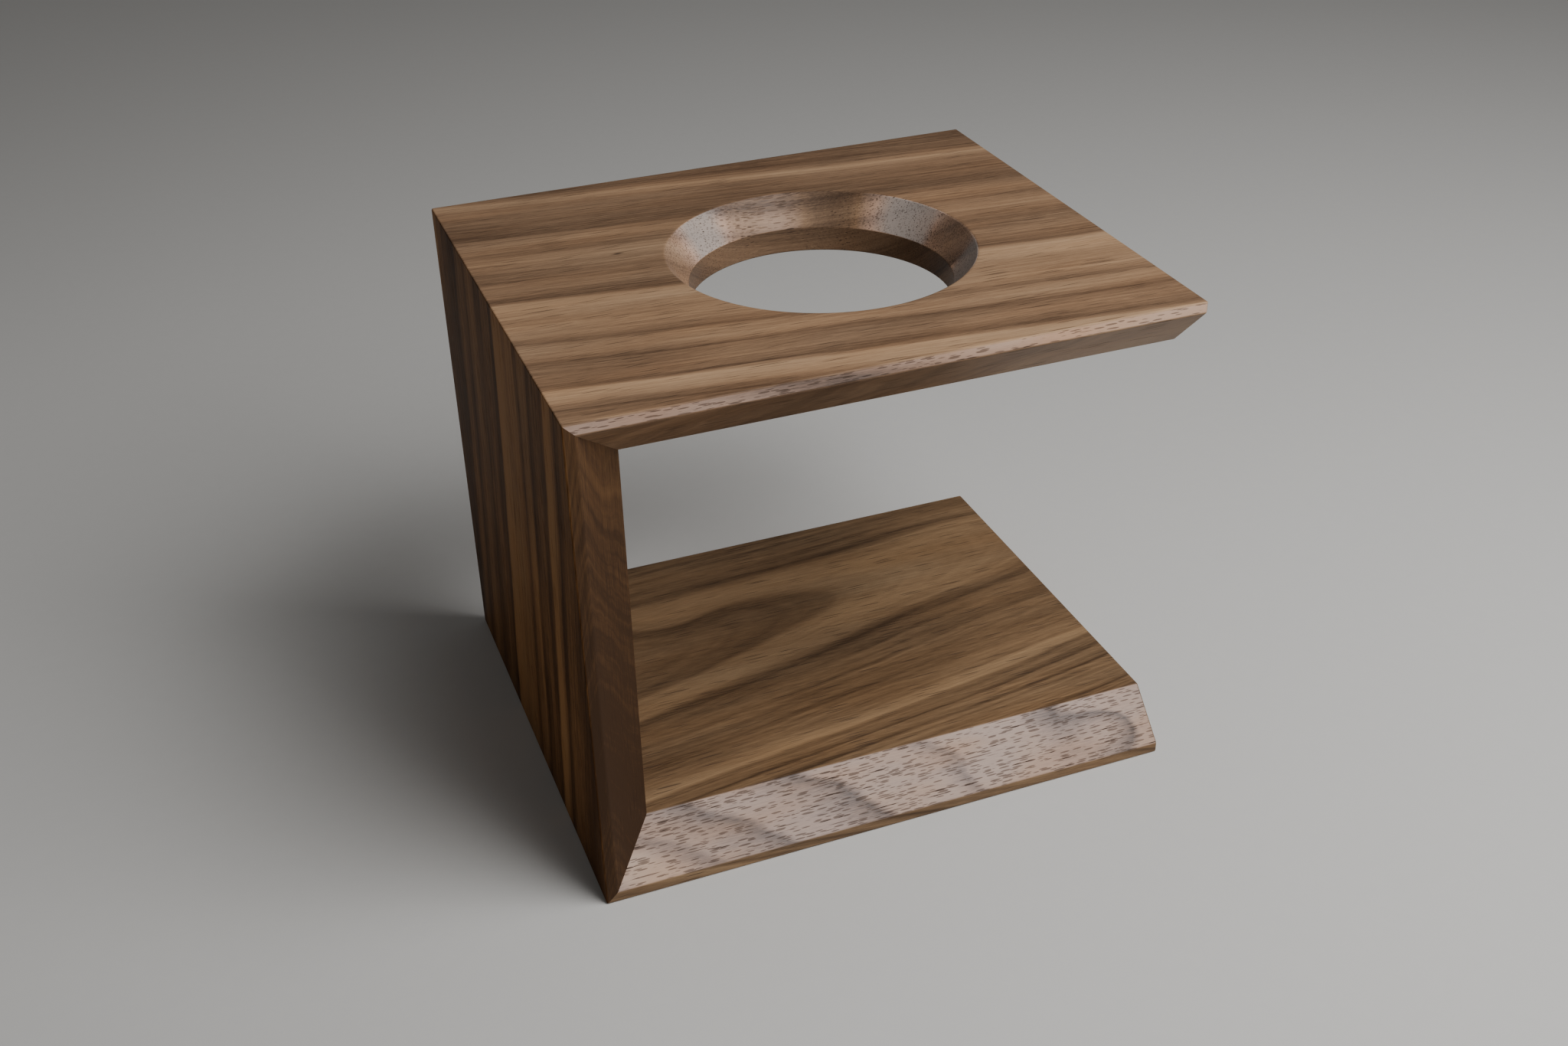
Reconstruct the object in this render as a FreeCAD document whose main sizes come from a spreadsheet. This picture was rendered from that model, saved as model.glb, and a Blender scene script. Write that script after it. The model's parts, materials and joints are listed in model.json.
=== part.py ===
import FreeCAD, Part
import math
import os

import Sketcher

# A pour-over coffee stand: three walnut boards mitred into a C that is open at +X.
# The base board lies on the counter and carries the mug. The side board stands on the
# -X side. The top board carries the dripper in a funnel-shaped hole. The long edges of
# all three boards are bevelled at 45 degrees, down to a narrow square land on the outer
# face. Loose beech tenons are glued across the two mitres.
#
# Row frame: the origin is at the middle of the stand's footprint, on the counter,
# +X points to the open end, -Y is the front and +Z is up.
#
# Each board is drawn in its own frame: X runs along the board from the toe of its first
# mitre, Y across it from its middle, and Z through it from its outer face inwards.

DRIVING_SIZES = {
    # overall sizes of the stand
    "stand_length": 198.0,
    "stand_width": 170.0,
    "stand_height": 170.0,
    # the board stock and its edges
    "board_thickness": 19.0,
    "edge_land": 3.8,
    "edge_easing": 0.6,
    # the dripper hole
    "bore_radius": 42.75,
    "cone_flare": 7.25,
    "cone_depth": 10.5,
    "rim_easing": 0.6,
    # the loose tenons, and how they sit in the mitres
    "tenon_thickness": 5.0,
    "tenon_width": 19.0,
    "tenon_heel_offset": 8.0,
    "tenon_edge_margin": 15.0,
    "tenon_arris": 0.6,
    "outer_cover": 2.7,
    # glue room round a tenon, on each side and at each end
    "glue_side_gap": 0.05,
    "glue_end_gap": 0.5,
}

# The rows of tenons: three in each mitre, placed by their share of the outermost offset.
TENON_PLACES = {"front": -1, "middle": 0, "back": 1}

MITRE_ANGLE = 45.0
QUARTER_TURN = 90.0
HALF_TURN = 180.0
FULL_TURN = 360.0
TOLERANCE = 1e-6
CUTTING_FEATURES = ("PartDesign::Pocket", "PartDesign::Groove", "PartDesign::LinearPattern")

# Sizes that follow from the driving ones, as expressions on the sheet.
BEVEL_INSET = "(sizes.board_thickness - sizes.edge_land)"
INNER_HALF_WIDTH = f"(sizes.stand_width / 2 - {BEVEL_INSET})"
HOLE_CENTRE = "((sizes.stand_length + sizes.board_thickness) / 2)"
MOUTH_RADIUS = "(sizes.bore_radius + sizes.cone_flare)"
MITRE_WIDTH = "(sizes.board_thickness * sqrt(2))"
TENON_SPACING = (
    f"({INNER_HALF_WIDTH} - sizes.tenon_edge_margin - sizes.tenon_width / 2)"
)
MORTISE_DEPTH = (
    "((sizes.board_thickness - sizes.outer_cover) * sqrt(2)"
    " - sizes.tenon_heel_offset - sizes.tenon_thickness / 2 - sizes.glue_side_gap)"
)
TENON_LENGTH = f"(2 * ({MORTISE_DEPTH} - sizes.glue_end_gap))"
TENON_ACROSS = "(sizes.tenon_heel_offset / sqrt(2))"

# Points of a sketch element, and the sketch's own axes, as Sketcher numbers them.
START = 1
END = 2
CENTRE = 3
SKETCH_X = -1
SKETCH_Y = -2
ORIGIN = (SKETCH_X, START)


def make_sheet(document):
    """Put the driving sizes in a sheet, one row each: name, value."""
    sheet = document.addObject("Spreadsheet::Sheet", "sizes")
    for row, (alias, value) in enumerate(DRIVING_SIZES.items(), start=1):
        sheet.set(f"A{row}", alias)
        sheet.set(f"B{row}", str(value))
        sheet.setAlias(f"B{row}", alias)
    document.recompute()
    return sheet


def make_body(document, label):
    """Start a sub-part; its label names its file."""
    body = document.addObject("PartDesign::Body", label)
    body.Label = label
    return body


def make_sketch(body, name, plane_role, offset=None):
    """Attach a new sketch to one of the body's own origin planes."""
    sketch = body.newObject("Sketcher::SketchObject", name)
    planes = [item for item in body.Origin.OriginFeatures if item.Role == plane_role]
    sketch.AttachmentSupport = [(planes[0], "")]
    sketch.MapMode = "FlatFace"
    if offset is not None:
        sketch.AttachmentOffset = offset
    return sketch


def evaluate(item, expression):
    """Read the number that an expression on the sheet has now."""
    return float(item.evalExpression(expression))


def bind(sketch, kind, references, expression):
    """Add a dimension to a sketch and tie it to the sheet."""
    value = evaluate(sketch, expression)
    index = sketch.addConstraint(Sketcher.Constraint(kind, *references, value))
    sketch.setExpression(f"Constraints[{index}]", expression)


def add_lines(sketch, points):
    """Draw a closed outline through the points; constraints then hold its sizes."""
    vectors = [FreeCAD.Vector(*point, 0) for point in points]
    ends = vectors[1:] + vectors[:1]
    lines = [
        sketch.addGeometry(Part.LineSegment(first, second))
        for first, second in zip(vectors, ends)
    ]
    for line, following in zip(lines, lines[1:] + lines[:1]):
        sketch.addConstraint(
            Sketcher.Constraint("Coincident", line, END, following, START)
        )
    return lines


def draw_section(body):
    """The board's cross-section: wide outer face, two lands, two bevels, inner face."""
    sketch = make_sketch(body, f"{body.Label}_section", "YZ_Plane")
    outer_half = evaluate(body, "sizes.stand_width / 2")
    inner_half = evaluate(body, INNER_HALF_WIDTH)
    land_top = evaluate(body, "sizes.edge_land")
    thickness = evaluate(body, "sizes.board_thickness")
    points = [
        (-outer_half, 0),
        (outer_half, 0),
        (outer_half, land_top),
        (inner_half, thickness),
        (-inner_half, thickness),
        (-outer_half, land_top),
    ]
    outer, land, bevel, inner, _far_bevel, far_land = add_lines(sketch, points)
    sketch.addConstraint(Sketcher.Constraint("Horizontal", outer))
    for line in (land, far_land):
        sketch.addConstraint(Sketcher.Constraint("Vertical", line))
    sketch.addConstraint(
        Sketcher.Constraint("Symmetric", outer, START, outer, END, *ORIGIN)
    )
    sketch.addConstraint(
        Sketcher.Constraint("Symmetric", inner, START, inner, END, SKETCH_Y)
    )
    sketch.addConstraint(Sketcher.Constraint("Equal", land, far_land))
    bind(sketch, "DistanceX", (outer, START, outer, END), "sizes.stand_width")
    bind(sketch, "DistanceY", (land, START, land, END), "sizes.edge_land")
    bind(sketch, "DistanceY", (*ORIGIN, inner, START), "sizes.board_thickness")
    bind(sketch, "DistanceX", (bevel, END, bevel, START), BEVEL_INSET)
    return sketch


def make_blank(body, length):
    """Pad the cross-section to the board's length."""
    pad = body.newObject("PartDesign::Pad", f"{body.Label}_blank")
    pad.Profile = draw_section(body)
    pad.Type = "Length"
    pad.setExpression("Length", length)
    return pad


def edge_direction(edge):
    """Unit direction of a straight edge."""
    return (edge.lastVertex().Point - edge.firstVertex().Point).normalize()


def ease_arrises(document, body, blank, length, free_end):
    """Round the long arrises, and those of the free end where the board has one."""
    document.recompute()
    names = []
    end_x = evaluate(body, length)
    for number, edge in enumerate(blank.Shape.Edges, start=1):
        runs_along = abs(abs(edge_direction(edge).x) - 1) < TOLERANCE
        at_free_end = abs(edge.BoundBox.XMin - end_x) < TOLERANCE
        if runs_along or (free_end and at_free_end):
            names.append(f"Edge{number}")
    easing = body.newObject("PartDesign::Fillet", f"{body.Label}_easing")
    easing.Base = (blank, names)
    easing.setExpression("Radius", "sizes.edge_easing")
    return easing


def cut_mitre(body, name, length, at_far_end):
    """Saw one end at 45 degrees, from the toe on the outer face to the inner face."""
    sketch = make_sketch(body, f"{body.Label}_{name}_saw", "XZ_Plane")
    thickness = evaluate(body, "sizes.board_thickness")
    toe = evaluate(body, length) if at_far_end else 0
    heel = toe - thickness if at_far_end else thickness
    points = [(toe, 0), (toe, thickness), (heel, thickness)]
    upright, level, _slope = add_lines(sketch, points)
    sketch.addConstraint(Sketcher.Constraint("Vertical", upright))
    sketch.addConstraint(Sketcher.Constraint("Horizontal", level))
    sketch.addConstraint(Sketcher.Constraint("Equal", upright, level))
    bind(sketch, "DistanceY", (upright, START, upright, END), "sizes.board_thickness")
    if at_far_end:
        sketch.addConstraint(Sketcher.Constraint("PointOnObject", upright, START, SKETCH_X))
        bind(sketch, "DistanceX", (*ORIGIN, upright, START), length)
    else:
        sketch.addConstraint(Sketcher.Constraint("Coincident", upright, START, *ORIGIN))
    mitre = body.newObject("PartDesign::Pocket", f"{body.Label}_{name}")
    mitre.Profile = sketch
    mitre.Type = "ThroughAll"
    mitre.SideType = "Symmetric"
    return mitre


def draw_slot(sketch, width, thickness, centre_x, centre_y):
    """A slot with round ends, its middle at the given place."""
    span = f"({width} - {thickness})"
    right_x = f"{centre_x} + {span} / 2"
    radius = evaluate(sketch, f"{thickness} / 2")
    right_end = evaluate(sketch, right_x)
    left_end = right_end - evaluate(sketch, span)
    level = evaluate(sketch, centre_y)
    up = FreeCAD.Vector(0, 0, 1)
    quarter = math.radians(QUARTER_TURN)
    low = Part.LineSegment(
        FreeCAD.Vector(left_end, level - radius, 0),
        FreeCAD.Vector(right_end, level - radius, 0),
    )
    high = Part.LineSegment(
        FreeCAD.Vector(right_end, level + radius, 0),
        FreeCAD.Vector(left_end, level + radius, 0),
    )
    right_circle = Part.Circle(FreeCAD.Vector(right_end, level, 0), up, radius)
    left_circle = Part.Circle(FreeCAD.Vector(left_end, level, 0), up, radius)
    right = Part.ArcOfCircle(right_circle, -quarter, quarter)
    left = Part.ArcOfCircle(left_circle, quarter, 3 * quarter)
    loop = [sketch.addGeometry(item) for item in (low, right, high, left)]
    for item, following in zip(loop, loop[1:] + loop[:1]):
        sketch.addConstraint(Sketcher.Constraint("Tangent", item, END, following, START))
    low, right, high, left = loop
    sketch.addConstraint(Sketcher.Constraint("Horizontal", low))
    sketch.addConstraint(Sketcher.Constraint("Equal", right, left))
    bind(sketch, "Radius", (right,), f"{thickness} / 2")
    bind(sketch, "DistanceX", (left, CENTRE, right, CENTRE), span)
    bind(sketch, "DistanceX", (*ORIGIN, right, CENTRE), right_x)
    bind(sketch, "DistanceY", (*ORIGIN, right, CENTRE), centre_y)


def cut_mortises(body, name, length, at_far_end):
    """Cut the row of mortises square into a mitre face."""
    tilt = -MITRE_ANGLE if at_far_end else MITRE_ANGLE
    offset = FreeCAD.Placement(
        FreeCAD.Vector(), FreeCAD.Rotation(FreeCAD.Vector(1, 0, 0), tilt)
    )
    sketch = make_sketch(body, f"{body.Label}_{name}_slot", "YZ_Plane", offset)
    if at_far_end:
        sketch.setExpression("AttachmentOffset.Base.z", length)
    draw_slot(
        sketch,
        "(sizes.tenon_width + 2 * sizes.glue_side_gap)",
        "(sizes.tenon_thickness + 2 * sizes.glue_side_gap)",
        TENON_SPACING,
        f"{MITRE_WIDTH} - sizes.tenon_heel_offset",
    )
    mortise = body.newObject("PartDesign::Pocket", f"{body.Label}_{name}")
    mortise.Profile = sketch
    mortise.Type = "Length"
    mortise.SideType = "Symmetric"
    mortise.setExpression("Length", f"2 * {MORTISE_DEPTH}")
    row = body.newObject("PartDesign::LinearPattern", f"{body.Label}_{name}_row")
    row.Originals = [mortise]
    row.Direction = (sketch, ["H_Axis"])
    row.Reversed = True
    row.Occurrences = len(TENON_PLACES)
    row.setExpression("Length", f"2 * {TENON_SPACING}")
    body.Tip = row
    return row


def cut_dripper_hole(document, body):
    """Turn the funnel-shaped hole: a cone from the outer face, then a straight bore."""
    sketch = make_sketch(body, f"{body.Label}_hole_profile", "XZ_Plane")
    thickness = evaluate(body, "sizes.board_thickness")
    cone_depth = evaluate(body, "sizes.cone_depth")
    centre = evaluate(body, HOLE_CENTRE)
    mouth_edge = centre + evaluate(body, MOUTH_RADIUS)
    bore_edge = centre + evaluate(body, "sizes.bore_radius")
    points = [
        (centre, 0),
        (mouth_edge, 0),
        (bore_edge, cone_depth),
        (bore_edge, thickness),
        (centre, thickness),
    ]
    mouth, cone, bore, floor, axis = add_lines(sketch, points)
    for line in (mouth, floor):
        sketch.addConstraint(Sketcher.Constraint("Horizontal", line))
    for line in (bore, axis):
        sketch.addConstraint(Sketcher.Constraint("Vertical", line))
    bind(sketch, "DistanceX", (*ORIGIN, mouth, START), HOLE_CENTRE)
    sketch.addConstraint(Sketcher.Constraint("PointOnObject", mouth, START, SKETCH_X))
    bind(sketch, "DistanceX", (mouth, START, mouth, END), MOUTH_RADIUS)
    bind(sketch, "DistanceX", (floor, END, floor, START), "sizes.bore_radius")
    bind(sketch, "DistanceY", (cone, START, cone, END), "sizes.cone_depth")
    bind(sketch, "DistanceY", (axis, END, axis, START), "sizes.board_thickness")
    hole = body.newObject("PartDesign::Groove", f"{body.Label}_hole")
    hole.Profile = sketch
    hole.ReferenceAxis = (sketch, [f"Edge{axis + 1}"])
    hole.Angle = FULL_TURN
    body.Tip = hole
    document.recompute()
    rims = [
        f"Edge{number}"
        for number, edge in enumerate(hole.Shape.Edges, start=1)
        if is_hole_rim(edge, thickness)
    ]
    easing = body.newObject("PartDesign::Fillet", f"{body.Label}_rim_easing")
    easing.Base = (hole, rims)
    easing.setExpression("Radius", "sizes.rim_easing")
    body.Tip = easing
    return easing


def is_hole_rim(edge, thickness):
    """True for the hole's two full-circle rims, on the outer and the inner face."""
    box = edge.BoundBox
    level_circle = edge.isClosed() and box.ZLength < TOLERANCE < box.XLength
    on_face = min(abs(box.ZMin), abs(box.ZMin - thickness)) < TOLERANCE
    return level_circle and on_face


def place(body, rotation, x="0", y="0", z="0"):
    """Turn a sub-part and tie its position to the sheet."""
    body.Placement = FreeCAD.Placement(FreeCAD.Vector(), rotation)
    for axis, expression in (("x", x), ("y", y), ("z", z)):
        body.setExpression(f"Placement.Base.{axis}", expression)


def make_base_board(document):
    """The board that lies on the counter and carries the mug."""
    body = make_body(document, "base_board")
    length = "sizes.stand_length"
    blank = make_blank(body, length)
    ease_arrises(document, body, blank, length, free_end=True)
    cut_mitre(body, "mitre", length, at_far_end=False)
    cut_mortises(body, "mortise", length, at_far_end=False)
    place(body, FreeCAD.Rotation(), x="-sizes.stand_length / 2")
    return body


def make_top_board(document):
    """The board that carries the dripper, outer face up."""
    body = make_body(document, "top_board")
    length = "sizes.stand_length"
    blank = make_blank(body, length)
    ease_arrises(document, body, blank, length, free_end=True)
    cut_mitre(body, "mitre", length, at_far_end=False)
    cut_mortises(body, "mortise", length, at_far_end=False)
    cut_dripper_hole(document, body)
    turned_over = FreeCAD.Rotation(FreeCAD.Vector(1, 0, 0), HALF_TURN)
    place(body, turned_over, x="-sizes.stand_length / 2", z="sizes.stand_height")
    return body


def make_side_board(document):
    """The upright board, outer face to -X, mitred at both ends."""
    body = make_body(document, "side_board")
    length = "sizes.stand_height"
    blank = make_blank(body, length)
    ease_arrises(document, body, blank, length, free_end=False)
    cut_mitre(body, "lower_mitre", length, at_far_end=False)
    cut_mitre(body, "upper_mitre", length, at_far_end=True)
    cut_mortises(body, "lower_mortise", length, at_far_end=False)
    cut_mortises(body, "upper_mortise", length, at_far_end=True)
    upright = FreeCAD.Rotation(
        FreeCAD.Vector(0, 0, 1), FreeCAD.Vector(0, -1, 0), FreeCAD.Vector(1, 0, 0)
    )
    place(body, upright, x="-sizes.stand_length / 2")
    return body


def make_tenon(document, label, share, at_top):
    """One loose tenon, square across a mitre and centred in its mortises."""
    body = make_body(document, label)
    sketch = make_sketch(body, f"{label}_outline", "XY_Plane")
    draw_slot(sketch, "sizes.tenon_width", "sizes.tenon_thickness", "0", "0")
    pad = body.newObject("PartDesign::Pad", f"{label}_bar")
    pad.Profile = sketch
    pad.Type = "Length"
    pad.SideType = "Symmetric"
    pad.setExpression("Length", TENON_LENGTH)
    document.recompute()
    end_edges = [
        f"Edge{number}"
        for number, edge in enumerate(pad.Shape.Edges, start=1)
        if edge.BoundBox.ZLength < TOLERANCE
    ]
    chamfer = body.newObject("PartDesign::Chamfer", f"{label}_ends")
    chamfer.Base = (pad, end_edges)
    chamfer.setExpression("Size", "sizes.tenon_arris")
    body.Tip = chamfer
    turn = MITRE_ANGLE + QUARTER_TURN if at_top else MITRE_ANGLE
    across = FreeCAD.Rotation(
        FreeCAD.Vector(0, 1, 0), FreeCAD.Vector(0, 0, 1), FreeCAD.Vector(1, 0, 0)
    )
    rotation = FreeCAD.Rotation(FreeCAD.Vector(0, 1, 0), turn).multiply(across)
    heel_x = "-sizes.stand_length / 2 + sizes.board_thickness"
    heel_z = "sizes.board_thickness"
    if at_top:
        z = f"sizes.stand_height - {heel_z} + {TENON_ACROSS}"
    else:
        z = f"{heel_z} - {TENON_ACROSS}"
    place(
        body,
        rotation,
        x=f"{heel_x} - {TENON_ACROSS}",
        y=f"{share} * {TENON_SPACING}",
        z=z,
    )
    return body


def check_document(document, bodies):
    """Stop on any failed feature, idle cut, empty shape or broken solid."""
    for item in document.Objects:
        if "Invalid" in item.State or "Error" in item.State:
            raise RuntimeError(f"{item.Label} failed: {item.State}")
        if item.TypeId in CUTTING_FEATURES:
            removed = item.BaseFeature.Shape.Volume - item.Shape.Volume
            if removed < TOLERANCE:
                raise RuntimeError(f"{item.Label} cuts nothing")
    for body in bodies:
        shape = body.Shape
        if shape.isNull() or not shape.isValid() or len(shape.Solids) != 1:
            raise RuntimeError(f"{body.Label} has no single valid solid")


def main():
    document = FreeCAD.newDocument("coffee_stand")
    make_sheet(document)
    bodies = [
        make_base_board(document),
        make_side_board(document),
        make_top_board(document),
    ]
    for corner, at_top in (("base", False), ("top", True)):
        for place_name, share in TENON_PLACES.items():
            label = f"{corner}_{place_name}_tenon"
            bodies.append(make_tenon(document, label, share, at_top))
    document.recompute()
    check_document(document, bodies)

    os.makedirs("parts", exist_ok=True)
    for body in bodies:
        body.Shape.exportStep(f"parts/{body.Label}.step")
        box = body.Shape.BoundBox
        print(
            f"{body.Label}: volume {body.Shape.Volume:.1f} mm3, "
            f"x {box.XMin:.2f}..{box.XMax:.2f}, y {box.YMin:.2f}..{box.YMax:.2f}, "
            f"z {box.ZMin:.2f}..{box.ZMax:.2f}"
        )


main()
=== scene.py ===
import json
import math

import bmesh
import bpy
from bpy.props import FloatProperty, FloatVectorProperty, IntProperty, PointerProperty
from bpy.types import Operator, Panel, PropertyGroup
from mathutils import Matrix, Vector


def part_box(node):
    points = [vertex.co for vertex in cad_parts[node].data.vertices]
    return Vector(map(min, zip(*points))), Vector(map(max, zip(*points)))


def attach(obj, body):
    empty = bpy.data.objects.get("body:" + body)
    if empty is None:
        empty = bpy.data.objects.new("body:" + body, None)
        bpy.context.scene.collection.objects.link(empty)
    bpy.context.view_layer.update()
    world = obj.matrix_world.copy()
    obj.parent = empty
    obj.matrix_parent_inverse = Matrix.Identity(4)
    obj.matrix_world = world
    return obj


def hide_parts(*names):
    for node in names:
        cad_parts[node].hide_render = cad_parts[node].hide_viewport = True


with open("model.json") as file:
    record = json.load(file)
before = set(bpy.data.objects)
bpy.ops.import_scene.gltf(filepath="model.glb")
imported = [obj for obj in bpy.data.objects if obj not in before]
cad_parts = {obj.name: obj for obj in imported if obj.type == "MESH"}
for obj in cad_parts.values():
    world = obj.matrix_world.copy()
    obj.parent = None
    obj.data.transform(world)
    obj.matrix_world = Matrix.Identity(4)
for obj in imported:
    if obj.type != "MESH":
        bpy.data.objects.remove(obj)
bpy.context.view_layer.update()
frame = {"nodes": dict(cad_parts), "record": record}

bl_info = {
    "name": "Pour-over Coffee Stand",
    "version": (1, 0, 0),
    "blender": (4, 5, 0),
    "location": "3D View > Sidebar > Coffee Stand",
    "description": "Three mitred walnut boards with a funnel-shaped dripper hole",
    "category": "Object",
}

MM = 0.001
CLOSE = 0.002 * MM
X_AXIS = Vector((1, 0, 0))
Y_AXIS = Vector((0, 1, 0))
Z_AXIS = Vector((0, 0, 1))

ROOT_BODY = "root"
TENON_NODES = sorted(name for name in frame["nodes"] if name.endswith("_tenon"))
TOP_LOW, TOP_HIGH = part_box("top_board")
SIDE_LOW, SIDE_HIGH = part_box("side_board")
BASE_LOW, BASE_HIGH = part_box("base_board")
THICKNESS = TOP_HIGH.z - TOP_LOW.z
LENGTH = TOP_HIGH.x - TOP_LOW.x
HEIGHT = TOP_HIGH.z - BASE_LOW.z

BORE = next(
    mount for mount in frame["record"]["mounts"] if mount["name"] == "dripper_bore"
)
BORE_CENTRE = Vector(BORE["pos_m"])
BORE_RADIUS = BORE["dims"]["r_mm"] * MM

# Flat rings of the top and bottom faces that are turned with the hole, in arris radii.
RIM_COLLAR = 3.0
SHARP_ANGLE = math.radians(35.0)
# Vertex layer of painted light: 0 is plain oiled wood, up to 1 is a pale painted sheen,
# up to 2 is a silver painted sheen, and below 0 is painted shade.
PAINTED_LIGHT_LAYER = "painted_light"
# How alike two directions are, at least, when a face looks a given way.
FACING = 0.98
# How far from 1 the dot product of two parallel directions may be.
PARALLEL = 2e-6
# Profile of a bevel whose segments follow an arc.
ROUND_PROFILE = 0.5
# The camera's sensor in mm, and how near it sees.
SENSOR_WIDTH = 36.0
NEAREST_SEEN = 10 * MM


# ---------------------------------------------------------------------------
# Sizes, figure, colours and light that a user may change
# ---------------------------------------------------------------------------


class StandSizes(PropertyGroup):
    """Edge work and joinery of the boards"""

    edge_land: FloatProperty(
        name="Edge land",
        description="Square strip left beside the outer face by the long bevels",
        default=3.8 * MM,
        unit="LENGTH",
    )
    arris_radius: FloatProperty(
        name="Arris radius",
        description="Rounding that sanding leaves on every outer edge",
        default=0.6 * MM,
        unit="LENGTH",
    )
    arris_segments: IntProperty(
        name="Arris segments",
        description="Faces across each rounded arris",
        default=3,
    )
    cone_flare: FloatProperty(
        name="Cone flare",
        description="How much wider the hole's radius is at its mouth than at its bore",
        default=7.25 * MM,
        unit="LENGTH",
    )
    cone_depth: FloatProperty(
        name="Cone depth",
        description="Depth of the hole's cone below the top face",
        default=10.5 * MM,
        unit="LENGTH",
    )
    ring_radius: FloatProperty(
        name="Ring radius",
        description="Rounding where the cone meets the bore",
        default=0.3 * MM,
        unit="LENGTH",
    )
    hole_facets: IntProperty(
        name="Hole facets",
        description="Facets round the dripper hole",
        default=144,
    )
    tenon_thickness: FloatProperty(
        name="Tenon thickness",
        description="Thickness of the loose tenons across the mitres",
        default=5.0 * MM,
        unit="LENGTH",
    )
    mortise_depth: FloatProperty(
        name="Mortise depth",
        description="Depth of a mortise below the mitre face",
        default=12.45 * MM,
        unit="LENGTH",
    )
    glue_gap: FloatProperty(
        name="Glue gap",
        description="Room for glue on each side of a tenon",
        default=0.05 * MM,
        unit="LENGTH",
    )
    slot_facets: IntProperty(
        name="Slot facets",
        description="Facets round the two ends of a mortise together",
        default=24,
    )


class WalnutFigure(PropertyGroup):
    """Strength of each part of the walnut's figure"""

    ring_streaks: FloatProperty(
        name="Ring streaks",
        description="Broad streaks that follow the growth rings",
        default=0.75,
    )
    ring_lines: FloatProperty(
        name="Ring lines",
        description="Thin lines that follow the growth rings",
        default=0.65,
    )
    threads: FloatProperty(
        name="Threads",
        description="Fibres seen as fine threads along the grain",
        default=0.7,
    )
    grit: FloatProperty(
        name="Grit",
        description="Short, fine marks of the wood's surface",
        default=0.6,
    )
    patches: FloatProperty(
        name="Patches",
        description="Slow change from darker to lighter wood",
        default=0.35,
    )
    # Threads and grit where a pale sheen is painted.
    sheen_threads: FloatProperty(
        name="Bare threads",
        description="Threads on the freshly cut faces",
        default=0.3,
    )
    sheen_grit: FloatProperty(
        name="Bare grit",
        description="Grit on the freshly cut faces",
        default=0.4,
    )
    pore_lines: FloatProperty(
        name="Pore lines",
        description="Darkness of open pores on the oiled faces",
        default=0.66,
    )
    # Pores where a pale sheen is painted.
    pore_dashes: FloatProperty(
        name="Pore dashes",
        description="Darkness of open pores on the freshly cut faces",
        default=0.62,
    )
    roughness: FloatProperty(
        name="Roughness",
        description="Roughness of the oiled wood between its pores",
        default=0.46,
    )
    pore_roughness: FloatProperty(
        name="Pore roughness",
        description="Further roughness in the open pores",
        default=0.3,
    )
    thread_roughness: FloatProperty(
        name="Thread roughness",
        description="Change of roughness from thread to thread",
        default=0.2,
    )
    relief: FloatProperty(
        name="Relief",
        description="Strength of the raised fibres and sunken pores",
        default=0.4,
    )
    relief_depth: FloatProperty(
        name="Relief depth",
        description="Depth of an open pore",
        default=0.12 * MM,
        unit="LENGTH",
    )


class WoodColours(PropertyGroup):
    """Colours of the walnut and the beech, and of the sheen and shade painted on the walnut
    """

    gold: FloatVectorProperty(
        name="Golden walnut",
        description="Lightest early wood",
        subtype="COLOR",
        default=(0.42, 0.265, 0.150),
    )
    brown: FloatVectorProperty(
        name="Mid walnut",
        description="The boards' general brown",
        subtype="COLOR",
        default=(0.225, 0.133, 0.074),
    )
    umber: FloatVectorProperty(
        name="Dark walnut",
        description="Late wood lines",
        subtype="COLOR",
        default=(0.078, 0.043, 0.024),
    )
    blush: FloatVectorProperty(
        name="Blush",
        description="Tint of the slightly redder areas",
        subtype="COLOR",
        default=(1.0, 0.93, 0.86),
    )
    pore: FloatVectorProperty(
        name="Open pores",
        description="Dark floor of the open pores",
        subtype="COLOR",
        default=(0.045, 0.026, 0.017),
    )
    # Painted sheen: this pale colour stands for light caught on the base board's bevels and
    # the top board's lands.
    pale_sheen_colour: FloatVectorProperty(
        name="Bare cut",
        description="Pale early wood on the freshly cut bevels and lands",
        subtype="COLOR",
        default=(0.57, 0.425, 0.345),
    )
    # Mid tone under the painted sheen.
    rosy: FloatVectorProperty(
        name="Rosy cut",
        description="Mid tone of the freshly cut faces",
        subtype="COLOR",
        default=(0.41, 0.305, 0.26),
    )
    # Late wood lines under the painted sheen.
    slate: FloatVectorProperty(
        name="Slate late wood",
        description="Grey late wood lines on the freshly cut faces",
        subtype="COLOR",
        default=(0.095, 0.080, 0.078),
    )
    # Warm tint under the painted sheen.
    peach: FloatVectorProperty(
        name="Peach",
        description="Tint of the warmer areas of the freshly cut faces",
        subtype="COLOR",
        default=(1.0, 0.90, 0.80),
    )
    # Painted sheen: the silvery glint of light on the hole's cone, laid on as colour.
    silver: FloatVectorProperty(
        name="Silver sheen",
        description="Where the hole's cone cuts the fibres aslant",
        subtype="COLOR",
        default=(0.36, 0.315, 0.285),
    )
    # Painted shade: the dark colour laid where shade falls, on the side board's bevels and
    # lands, under the top board's bevels, in the bore and in a wedge of the cone.
    painted_shade_colour: FloatVectorProperty(
        name="Heartwood",
        description="Smooth dark heartwood that the side board's bevels run through",
        subtype="COLOR",
        default=(0.044, 0.028, 0.019),
    )
    beech: FloatVectorProperty(
        name="Beech",
        description="Body of the loose tenons",
        subtype="COLOR",
        default=(0.60, 0.42, 0.25),
    )
    beech_fibre: FloatVectorProperty(
        name="Beech fibre",
        description="Darker fibres of the loose tenons",
        subtype="COLOR",
        default=(0.48, 0.336, 0.20),
    )
    beech_fleck: FloatVectorProperty(
        name="Beech fleck",
        description="Short ray flecks of the loose tenons",
        subtype="COLOR",
        default=(0.33, 0.231, 0.1375),
    )


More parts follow.
